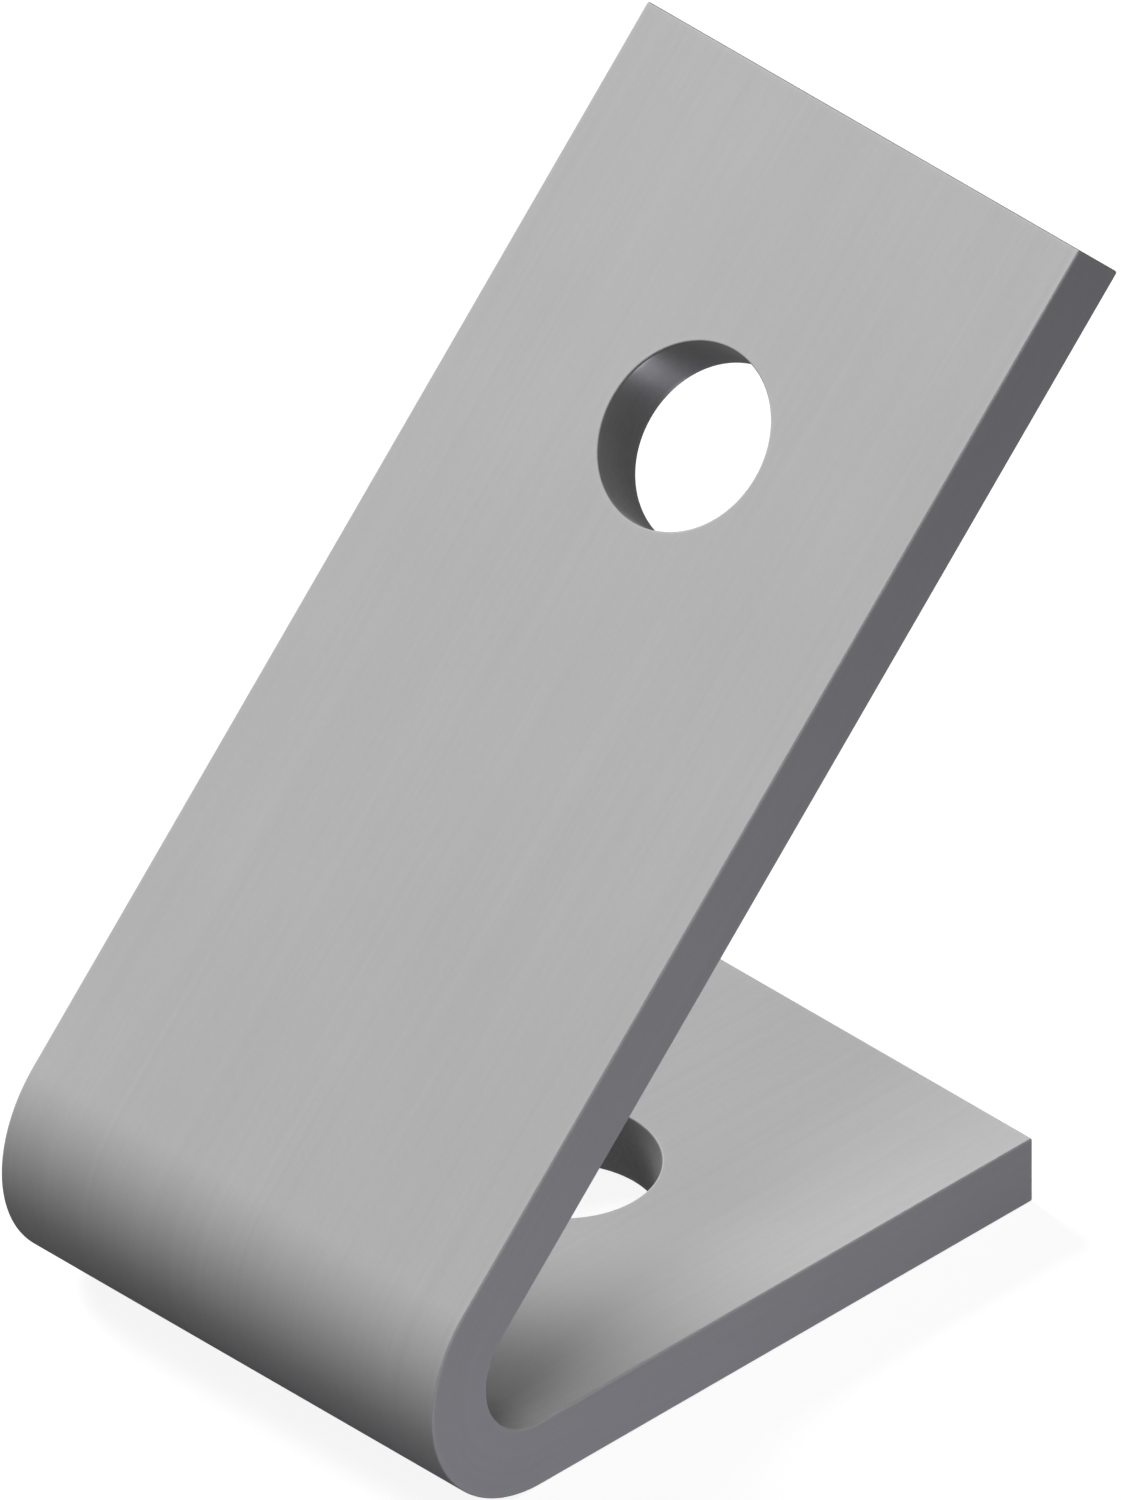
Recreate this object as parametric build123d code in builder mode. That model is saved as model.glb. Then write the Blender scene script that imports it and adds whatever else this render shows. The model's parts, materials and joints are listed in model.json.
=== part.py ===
from build123d import *
import os

# Splice angle bracket, for bolting two steel channels together at an angle. It is
# one piece of flat bar, sheared to length, punched with one bolt hole in each leg
# and folded hard over, so that the long leg leans back above the short one.
#
# Millimetres, +Z up. The short leg lies flat on the XY plane with the middle of
# its hole at the origin, the bend is at -Y and both legs run from it towards +Y.

# Flat bar
bar_width = 40.0
bar_thickness = 5.0

# Fold: the angle left between the two legs, and the radius of the inside of the bend
leg_angle = 45.0
bend_inner_radius = 5.0

# Legs, each measured along itself from the outermost line of the bend to its end
short_leg_length = 55.5
long_leg_length = 90.5

# Bolt holes, on the middle line of the bar, placed from the end of each leg
bolt_diameter = 12.0
bolt_clearance = 1.0
short_leg_end_distance = 23.5
long_leg_end_distance = 23.5

# Radius that breaks every sharp corner, on the outline and round both holes
edge_break = 0.15

# Worked out from the sizes above
bend_angle = 180 - leg_angle
bend_outer_radius = bend_inner_radius + bar_thickness
short_leg_straight = short_leg_length - bend_outer_radius
long_leg_straight = long_leg_length - bend_outer_radius
hole_radius = (bolt_diameter + bolt_clearance) / 2

# The bend's axis runs along X, straight above the line where the short leg meets the bend
bend_start = short_leg_end_distance - short_leg_straight
bend_centre = (0, bend_start, bend_outer_radius)

# Each hole has a plane on its leg's outer face, centred on the hole and looking outwards
short_leg_hole = -Plane.XY
long_leg_outside = Plane(bend_centre).rotated((leg_angle, 0, 0)).offset(bend_outer_radius)
long_leg_hole = long_leg_outside.shift_origin(
    long_leg_outside.from_local_coords((0, long_leg_straight - long_leg_end_distance))
)

with BuildPart() as angle_bracket:
    # Side view of the folded bar: its outer line, thickened towards the inside
    with BuildSketch(Plane.YZ) as fold_profile:
        with BuildLine() as outer_line:
            short_leg = Line((short_leg_end_distance, 0), (bend_start, 0))
            bend = JernArc(short_leg @ 1, short_leg % 1, bend_outer_radius, -bend_angle)
            PolarLine(bend @ 1, long_leg_straight, direction=bend % 1)
            offset(amount=bar_thickness, side=Side.RIGHT)
        make_face()
    extrude(amount=bar_width / 2, both=True)

    # Corners are broken all round the bar. Of the edges across it, the four furthest from
    # the bend are the corners of its ends, and the others are smooth, where the bend begins.
    side_corners = angle_bracket.faces().filter_by(Axis.X).edges()
    end_corners = angle_bracket.edges().filter_by(Axis.X).sort_by_distance(bend_centre)[-4:]
    fillet(side_corners + end_corners, radius=edge_break)

    # Both holes are punched square through the bar from its outer side
    with Locations(short_leg_hole, long_leg_hole):
        Hole(hole_radius, depth=bar_thickness)
    fillet(angle_bracket.edges(Select.LAST).filter_by(GeomType.CIRCLE), radius=edge_break)

angle_bracket.part.label = "angle_bracket"

os.makedirs("parts", exist_ok=True)
export_step(angle_bracket.part, "parts/angle_bracket.step")
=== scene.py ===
import json
from math import cos, radians, sin, tan

import bmesh
import bpy
from mathutils import Matrix, Vector


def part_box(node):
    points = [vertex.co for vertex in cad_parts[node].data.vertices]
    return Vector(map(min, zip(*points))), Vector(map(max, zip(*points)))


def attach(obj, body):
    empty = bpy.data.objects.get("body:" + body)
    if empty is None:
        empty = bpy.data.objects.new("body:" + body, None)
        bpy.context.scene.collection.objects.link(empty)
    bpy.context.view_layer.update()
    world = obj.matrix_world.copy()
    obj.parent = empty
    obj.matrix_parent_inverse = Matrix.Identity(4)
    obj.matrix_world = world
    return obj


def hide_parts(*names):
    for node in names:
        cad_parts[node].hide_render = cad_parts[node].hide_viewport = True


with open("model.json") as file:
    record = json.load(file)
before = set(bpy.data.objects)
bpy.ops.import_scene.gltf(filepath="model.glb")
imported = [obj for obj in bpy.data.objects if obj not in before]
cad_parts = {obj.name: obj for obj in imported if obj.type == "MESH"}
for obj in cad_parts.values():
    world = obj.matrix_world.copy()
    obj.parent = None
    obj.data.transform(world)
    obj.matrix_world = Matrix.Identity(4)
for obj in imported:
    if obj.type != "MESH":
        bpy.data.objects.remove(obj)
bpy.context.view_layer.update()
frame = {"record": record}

# The splice angle bracket is one length of mill-rolled flat steel bar, zinc plated to a satin
# grey. It is sheared to length, one bolt hole is punched in each leg, and the bar is folded
# over a round former until 45 degrees are left between its legs.
bar_thickness = 0.005
leg_angle = radians(45)
bend_inner_radius = 0.005
short_leg_length = 0.0555
long_leg_length = 0.0905
hole_to_leg_end = 0.0235
edge_break = 0.00015

# Its width and the places of its holes come from the frame. The bend's axis runs along X, above
# the line where the short leg's outer face meets the bend.
mounts = {mount["name"]: mount for mount in frame["record"]["mounts"]}
short_leg_hole = Vector(mounts["short_leg_hole"]["pos_m"])
long_leg_hole = Vector(mounts["long_leg_hole"]["pos_m"])
hole_radius = mounts["short_leg_hole"]["dims"]["r_mm"] / 1000
lowest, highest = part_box("angle_bracket")
bar_width = highest.x - lowest.x
bend_outer_radius = bend_inner_radius + bar_thickness
short_leg_straight = short_leg_length - bend_outer_radius
long_leg_straight = long_leg_length - bend_outer_radius
bend_axis = short_leg_hole + Vector((0, hole_to_leg_end - short_leg_straight, bend_outer_radius))

# Faces along each side of a leg's end, and round the bend
side_steps = 24
bend_steps = 54

bar = bmesh.new()


def edges_of(points):
    """The edges that run between these vertices of the bar."""
    return [edge for edge in bar.edges if all(end in points for end in edge.verts)]


def punched_leg_end(place):
    """The outer face of a leg's last stretch, as long as the short leg is straight, with its hole.
    place has its origin at the hole, Z out of the bar and Y to the leg's end. Returns the edges
    on the bend's side."""
    middle = Matrix.Translation((0, hole_to_leg_end - short_leg_straight / 2, 0))
    size = Matrix.Diagonal((bar_width, short_leg_straight, 1, 1))
    corners = bmesh.ops.create_grid(
        bar, x_segments=1, y_segments=1, size=0.5, matrix=place @ middle @ size
    )["verts"]
    bmesh.ops.delete(bar, geom=corners[0].link_faces[:], context="FACES_ONLY")
    cut = bmesh.ops.subdivide_edges(bar, edges=edges_of(corners), cuts=side_steps - 1)
    outline = [piece for piece in cut["geom_split"] if isinstance(piece, bmesh.types.BMEdge)]
    hole = bmesh.ops.create_circle(
        bar, segments=4 * side_steps, radius=hole_radius, matrix=place
    )["verts"]
    bmesh.ops.bridge_loops(bar, edges=outline + edges_of(hole))
    bend_side = place @ Vector((0, hole_to_leg_end - short_leg_straight, 0))
    rim = {point for edge in outline for point in edge.verts}
    return edges_of({point for point in rim if (point.co - bend_side).yz.length < edge_break})


# The short leg's outer face looks down and the long leg's looks up and away from it. The bend
# is spun from one, and the long leg's plain stretch bridges the gap to the other.
short_leg_place = Matrix.Translation(short_leg_hole) @ Matrix.Rotation(radians(180), 4, "Y")
long_leg_place = Matrix.Translation(long_leg_hole) @ Matrix.Rotation(leg_angle, 4, "X")
short_leg_edge = punched_leg_end(short_leg_place)
long_leg_edge = punched_leg_end(long_leg_place)
bend = bmesh.ops.spin(
    bar,
    geom=short_leg_edge,
    cent=bend_axis,
    axis=(1, 0, 0),
    angle=leg_angle - radians(180),
    steps=bend_steps,
)
bend_end = [piece for piece in bend["geom_last"] if isinstance(piece, bmesh.types.BMEdge)]
bmesh.ops.bridge_loops(bar, edges=bend_end + long_leg_edge)
bmesh.ops.remove_doubles(bar, verts=bar.verts, dist=edge_break / 100)
bmesh.ops.recalc_face_normals(bar, faces=bar.faces)
for face in bar.faces:
    face.smooth = True
bar_mesh = bpy.data.meshes.new("folded_flat_bar")
bar.to_mesh(bar_mesh)
bar.free()
bracket = bpy.data.objects.new("folded_flat_bar", bar_mesh)
bpy.context.scene.collection.objects.link(bracket)

# The bar's thickness lies inside that skin, and every sharp corner is broken.
thickness = bracket.modifiers.new("bar_thickness", "SOLIDIFY")
thickness.thickness = bar_thickness
thickness.offset = -1
thickness.use_even_offset = True
broken_edges = bracket.modifiers.new("broken_edges", "BEVEL")
broken_edges.width = edge_break
broken_edges.segments = 4
broken_edges.limit_method = "ANGLE"
broken_edges.angle_limit = radians(60)
broken_edges.harden_normals = True


class Field:
    """A number that changes over a surface. Arithmetic on it adds Math nodes."""

    def __init__(self, finish, socket):
        self.finish = finish
        self.socket = socket

    def maths(self, operation, *others):
        return self.finish.add("ShaderNodeMath", {"operation": operation}, [self, *others])

    def __add__(self, other):
        return self.maths("ADD", other)

    def __sub__(self, other):
        return self.maths("SUBTRACT", other)

    def __rsub__(self, other):
        return self.finish.add("ShaderNodeMath", {"operation": "SUBTRACT"}, [other, self])

    def __mul__(self, other):
        return self.maths("MULTIPLY", other)

    def __truediv__(self, other):
        return self.maths("DIVIDE", other)

    def __gt__(self, other):
        return self.maths("GREATER_THAN", other)

    __radd__ = __add__
    __rmul__ = __mul__

    def above(self, other):
        """The larger of the two."""
        return self.maths("MAXIMUM", other)

    def below(self, other):
        """The smaller of the two."""
        return self.maths("MINIMUM", other)

    def size(self):
        return self.maths("ABSOLUTE")

    def root(self):
        return self.maths("SQRT")


class Finish:
    """The nodes of one material, or of the world. add() makes a node from its type, its settings
    and the values or links of its sockets, by name or in order."""

    def __init__(self, owner):
        owner.use_nodes = True
        self.tree = owner.node_tree
        self.tree.nodes.clear()

    def add(self, kind, settings=None, sockets=()):
        node = self.tree.nodes.new(kind)
        for name, value in (settings or {}).items():
            setattr(node, name, value)
        named = sockets.items() if isinstance(sockets, dict) else enumerate(sockets)
        for name, value in named:
            if isinstance(value, Field):
                self.tree.links.new(value.socket, node.inputs[name])
            else:
                node.inputs[name].default_value = value
        return Field(self, node.outputs[0]) if node.outputs else None

    def outputs(self, kind, names, sockets=()):
        """Makes a node and gives the outputs that are named."""
        first = self.add(kind, sockets=sockets)
        return [Field(self, first.socket.node.outputs[name]) for name in names]

    def step(self, value, low, high, at_low=0.0, at_high=1.0):
        """Eases from at_low to at_high as value goes from low to high."""
        return self.add(
            "ShaderNodeMapRange",
            {"interpolation_type": "SMOOTHSTEP"},
            {"Value": value, "From Min": low, "From Max": high, "To Min": at_low, "To Max": at_high},
        )


def satin_zinc_steel():
    """Satin zinc plating over mill-rolled bar: faint rolling lines along the bar, soft clouding, a
    fine tooth and rubbed corners, and darker, shinier walls that the punch and the shear left. The
    walls' darker colour is partly painted shade, and it grows darker below the face that looks up."""
    material = bpy.data.materials.new("satin_zinc_steel")
    steel = Finish(material)
    (place,) = steel.outputs("ShaderNodeTexCoord", ["Object"])
    x, y, z = steel.outputs("ShaderNodeSeparateXYZ", "XYZ", [place])

    # Where a point is on the bar: how far along its leg from the bend, and how deep from the
    # bend's axis. All over the inner face the depth is the bend's inner radius, and all over the
    # outer face its outer radius.
    from_axis_y = y - bend_axis.y
    from_axis_z = z - bend_axis.z
    along_long_leg = from_axis_y * cos(leg_angle) + from_axis_z * sin(leg_angle)
    on_long_leg = along_long_leg > from_axis_y
    along = along_long_leg.above(from_axis_y).above(0)
    depth = (from_axis_y * from_axis_y + from_axis_z * from_axis_z - along * along).above(0).root()

    # How near the point is to each kind of face: 1 on it, and 0 at the reach of the rubbing. On
    # a corner two of them are near at once.
    rubbed_width = 0.0006
    leg_end = short_leg_straight + on_long_leg * (long_leg_straight - short_leg_straight)
    from_hole_y = along - leg_end + hole_to_leg_end
    from_hole = (x * x + from_hole_y * from_hole_y).root() - hole_radius
    from_leg_end = leg_end - along
    from_side = bar_width / 2 - x.size()
    from_inner_face = depth - bend_inner_radius
    from_outer_face = bend_outer_radius - depth
    from_skin = from_inner_face.below(from_outer_face)
    near_hole, near_leg_end, near_side, near_skin = (
        steel.step(distance, 0, rubbed_width, 1, 0)
        for distance in (from_hole, from_leg_end, from_side, from_skin)
    )
    nearest = near_hole.above(near_leg_end).above(near_side).above(near_skin)
    corner = near_hole + near_leg_end + near_side + near_skin - nearest

    # Rolling lines are much longer than they are wide. Each noise lies between 0 and 1.
    line_width = 0.00045
    line_length = 0.03
    clouds_per_metre = 60.0
    teeth_per_metre = 2600.0
    noise_mean = 0.5
    line_place = steel.add(
        "ShaderNodeCombineXYZ", sockets=[x / line_width, y / line_length, z / line_length]
    )
    lines = steel.add(
        "ShaderNodeTexNoise",
        {"noise_dimensions": "4D"},
        {"Vector": line_place, "W": depth / line_width, "Scale": 1.0, "Detail": 3.0, "Roughness": 0.6},
    )
    clouding = steel.add(
        "ShaderNodeTexNoise", sockets={"Vector": place, "Scale": clouds_per_metre, "Detail": 3.0}
    )
    tooth = steel.add(
        "ShaderNodeTexNoise", sockets={"Vector": place, "Scale": teeth_per_metre, "Detail": 2.0}
    )

    # The walls that the punch and the shear left are darker and shinier than the rolled faces, but
    # don't shine on the rounding at their rims. Their darker colour is partly bare cut steel and
    # partly painted shade for the insides of the holes. They are smoothest at the face that looks up,
    # and turn rougher below it, where the steel tore through, and darker there too, as painted shade.
    wall_start = 0.0001
    wall_full = 0.00002
    torn_and_shade_wander = 0.0012
    from_top = from_inner_face + on_long_leg * (from_outer_face - from_inner_face)
    cut_wall = steel.step(from_hole.below(from_leg_end), wall_full, wall_start, 1, 0)
    # This mask is the torn band and also painted shade: the walls darken below the face that looks up
    torn_and_painted_shade = cut_wall * steel.step(from_top + (clouding - noise_mean) * torn_and_shade_wander, 0, bar_thickness)
    shining = cut_wall * steel.step(from_skin, 0, edge_break)

    # How much each mark lightens or darkens the plating, roughens or smooths it, and stands up
    plating_grey = (0.436, 0.436, 0.438)
    shade = (
        1
        + (lines - noise_mean) * 0.12
        + (clouding - noise_mean) * 0.08
        + (tooth - noise_mean) * 0.05
        + corner * clouding * 0.05
        # Painted shade in part: the cut walls are darker as bare cut steel and also for the shade
        # inside the holes
        - cut_wall * 0.57
        # Painted shade: darker below the face that looks up, as deeper inside a hole
        - torn_and_painted_shade * 0.12
    )
    colour = steel.add(
        "ShaderNodeVectorMath", {"operation": "SCALE"}, {"Vector": plating_grey, "Scale": shade}
    )
    satin = 0.5
    roughness = (
        satin
        + (lines - noise_mean) * 0.12
        + (clouding - noise_mean) * 0.08
        - corner * 0.10
        - cut_wall * 0.10
        + torn_and_painted_shade * 0.06
    )
    height = lines * 0.4 + tooth * (0.25 + torn_and_painted_shade * 0.5)
    relief = 0.00002
    bump = steel.add(
        "ShaderNodeBump", sockets={"Strength": 0.35, "Distance": relief, "Height": height}
    )
    surface = steel.add(
        "ShaderNodeBsdfPrincipled",
        sockets={
            "Base Color": colour,
            "Metallic": shining * 0.24,
            "Specular IOR Level": 0.0,
            "Roughness": roughness,
            "Normal": bump,
        },
    )
    steel.add("ShaderNodeOutputMaterial", sockets={"Surface": surface})
    return material


bar_mesh.materials.append(satin_zinc_steel())
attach(bracket, "root")
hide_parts("angle_bracket")

# The floor is a plain pale sheet, which shows white round the bracket and in its sheen and keeps
# its soft shadow. The bracket's short leg lies flat on it. The sheet casts no shadow itself, so
# lamps that stand below it light the bracket, as through a light table.
floor_half_side = 0.4
floor_drop = 0.00005
sheet = bmesh.new()
bmesh.ops.create_grid(
    sheet,
    x_segments=1,
    y_segments=1,
    size=floor_half_side,
    matrix=Matrix.Translation((0, 0, lowest.z - floor_drop)),
)
floor_mesh = bpy.data.meshes.new("floor")
sheet.to_mesh(floor_mesh)
sheet.free()
floor = bpy.data.objects.new("floor", floor_mesh)
floor.visible_shadow = False
bpy.context.scene.collection.objects.link(floor)


def seen_directly(finish):
    """1 for light paths that end in the picture, a reflection or a clear piece, and 0 for the rest."""
    camera, glossy, through = finish.outputs(
        "ShaderNodeLightPath", ["Is Camera Ray", "Is Glossy Ray", "Is Transmission Ray"]
    )
    return camera.above(glossy).above(through)


def pale_floor():
    """Matt pale grey that carries the shadow, over a white glow that only looks white. The light
    that the floor throws back on the bracket is the weaker one of a plain matt sheet."""
    material = bpy.data.materials.new("pale_floor")
    pale = Finish(material)
    plain = pale.add("ShaderNodeBsdfDiffuse", sockets={"Color": (0.12, 0.12, 0.12, 1)})
    shadowed = pale.add("ShaderNodeBsdfDiffuse", sockets={"Color": (0.2, 0.2, 0.2, 1)})
    glow = pale.add("ShaderNodeEmission", sockets={"Color": (1, 1, 1, 1), "Strength": 0.87})
    white = pale.add("ShaderNodeAddShader", sockets=[shadowed, glow])
    surface = pale.add("ShaderNodeMixShader", sockets=[seen_directly(pale), plain, white])
    pale.add("ShaderNodeOutputMaterial", sockets={"Surface": surface})
    return material


floor_mesh.materials.append(pale_floor())

# Round the floor the room is white where it is seen, and gives only a weak even light, so that
# the lamps make the bracket's tones.
world = bpy.data.worlds.new("white_room")
bpy.context.scene.world = world
room = Finish(world)
even_light = room.add("ShaderNodeBackground", sockets=[(1, 1, 1, 1), 0.06])
white_room = room.add("ShaderNodeBackground", sockets=[(1, 1, 1, 1), 1.0])
room_light = room.add("ShaderNodeMixShader", sockets=[seen_directly(room), even_light, white_room])
room.add("ShaderNodeOutputWorld", sockets=[room_light])

# Soft lamps stand round the bracket, each a square panel turned to its middle. The large one at
# the left gives most of the light. The fill casts no shadow, so it reaches the short leg under
# the long one too. The low side lamp, the rear lamp and the sheen lamp stand below the floor.
bracket_middle = (lowest + highest) / 2
cool_side_light = (0.87, 0.87, 1)
cool_sheen_light = (0.88, 0.88, 1)


def soft_lamp(name, azimuth, elevation, distance, side, watts):
    """A square panel. Azimuth 0 is on the bend's side and 90 on the +X side, in degrees."""
    level = cos(radians(elevation))
    towards = Vector(
        (
            sin(radians(azimuth)) * level,
            -cos(radians(azimuth)) * level,
            sin(radians(elevation)),
        )
    )
    light = bpy.data.lights.new(name, "AREA")
    light.size = side
    light.energy = watts
    lamp = bpy.data.objects.new(name, light)
    lamp.location = bracket_middle + towards * distance
    lamp.rotation_euler = towards.to_track_quat("Z", "Y").to_euler()
    lamp.visible_camera = False
    bpy.context.scene.collection.objects.link(lamp)
    return lamp


soft_lamp("left_lamp", azimuth=270, elevation=31, distance=1.4, side=0.5, watts=30.2)
soft_lamp("front_lamp", azimuth=30, elevation=66, distance=0.7, side=0.2, watts=1.25)
fill = soft_lamp("fill_lamp", azimuth=0, elevation=50, distance=0.7, side=0.2, watts=0.94)
fill.data.use_shadow = False
low_side = soft_lamp("low_side_lamp", azimuth=75, elevation=-24, distance=0.16, side=0.05, watts=0.06)
low_side.data.color = cool_side_light

# The rear lamp isn't reflected, and the sheen lamp is only reflected. It gives the highlight on
# the upper hole's wall.
rear = soft_lamp("rear_lamp", azimuth=180, elevation=-12, distance=1.4, side=0.4, watts=2.85)
rear.visible_glossy = False
sheen = soft_lamp("sheen_lamp", azimuth=138, elevation=-61, distance=0.5, side=0.12, watts=0.9)
sheen.data.color = cool_sheen_light
sheen.visible_diffuse = False

# The camera looks from the photograph's side, a true isometric view from 45 degrees to the right
# of the bend and 35 above it. On the bracket's +X side, the point where the outer faces of its
# legs would meet without the bend settles the framing. It lies below the picture's lower edge.
picture_width, picture_height = 1121, 1500
pixels_per_metre = 15283
apex_pixel = Vector((280.129, 1635.151))
camera_distance = 0.5
view_back = Vector((1, -1, 1)).normalized()
camera_right = Vector((1, 1, 0)).normalized()
camera_up = view_back.cross(camera_right)
outer_apex = Vector((highest.x, bend_axis.y - bend_outer_radius / tan(leg_angle / 2), 0))
from_apex = Vector((picture_width / 2, picture_height / 2)) - apex_pixel
aim = outer_apex + (camera_right * from_apex.x - camera_up * from_apex.y) / pixels_per_metre
camera_data = bpy.data.cameras.new("camera")
camera_data.type = "ORTHO"
camera_data.ortho_scale = picture_height / pixels_per_metre
camera_data.clip_start = 0.001
camera = bpy.data.objects.new("camera", camera_data)
camera.location = aim + view_back * camera_distance
camera.rotation_euler = view_back.to_track_quat("Z", "Y").to_euler()
bpy.context.scene.collection.objects.link(camera)
bpy.context.scene.camera = camera
bpy.context.scene.view_settings.view_transform = "Standard"
